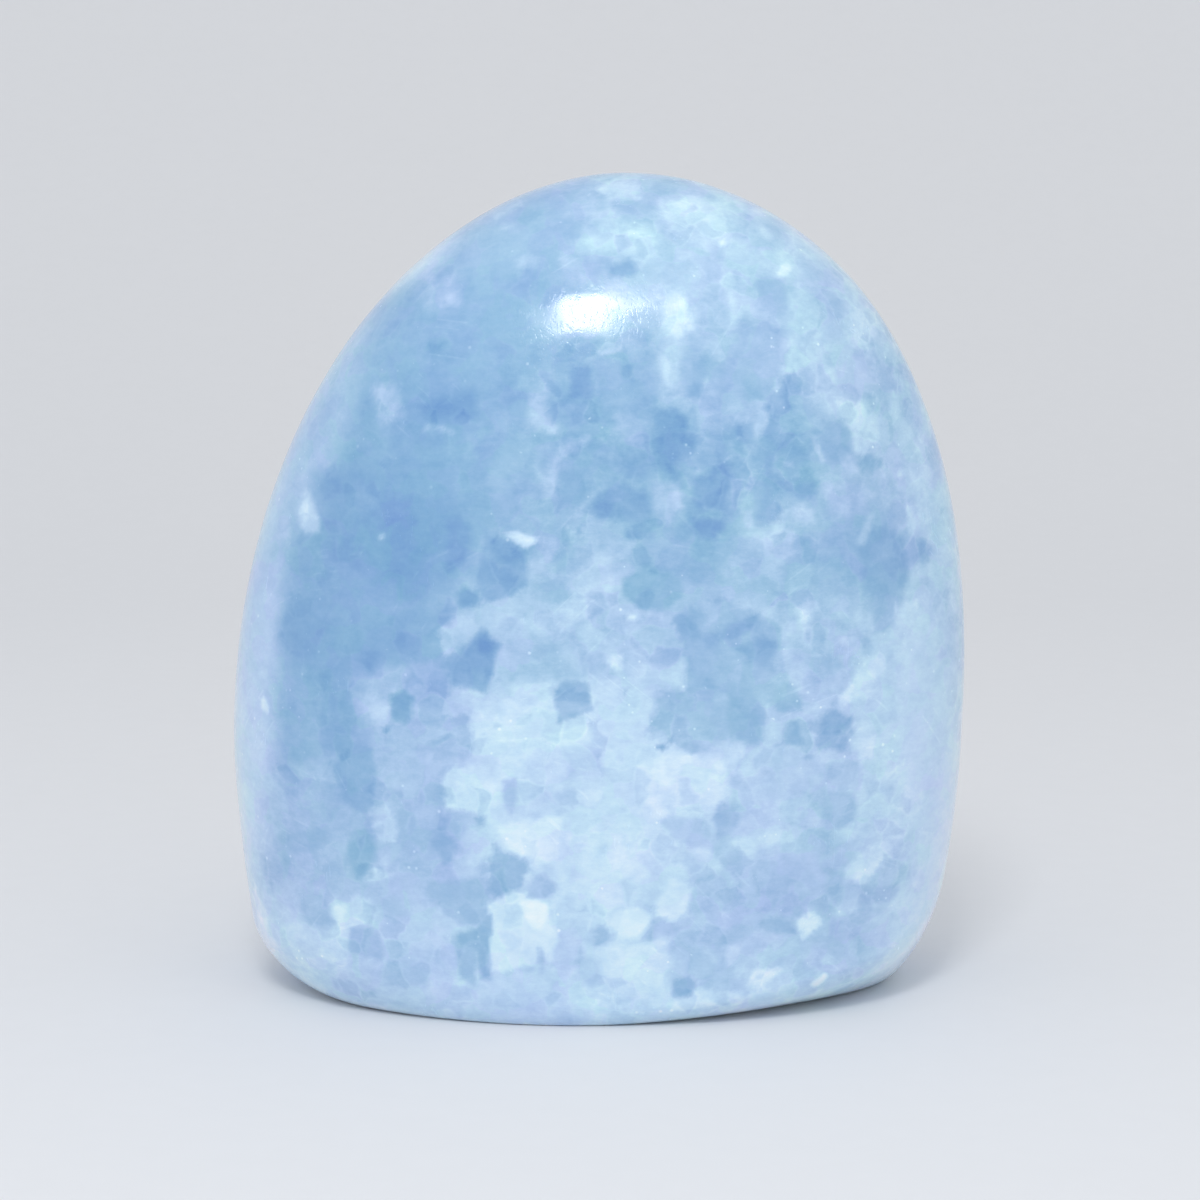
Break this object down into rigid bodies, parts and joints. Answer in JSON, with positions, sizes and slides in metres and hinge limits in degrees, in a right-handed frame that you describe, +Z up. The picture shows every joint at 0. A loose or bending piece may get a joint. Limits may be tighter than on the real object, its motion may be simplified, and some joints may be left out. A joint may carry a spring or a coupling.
{
  "type": "polished blue calcite freeform",
  "caption": "Dome-shaped display stone of pale blue calcite, ground smooth and hand polished, that stands upright on its flat cut base.",
  "frame": {"origin": "middle of the stone's box, on the plane of its flat base", "axes": "+Z up the stone's height, -Y out of its broad front face, +X to the right as the picture shows it"},
  "size_m": [0.081, 0.0444, 0.09],
  "materials": {
    "polished_calcite": "glossy hand polish over coarse-grained translucent blue calcite; the cut base is honed"
  },
  "bodies": {
    "root": {"calcite_freeform": "polished_calcite"}
  },
  "joints": []
}
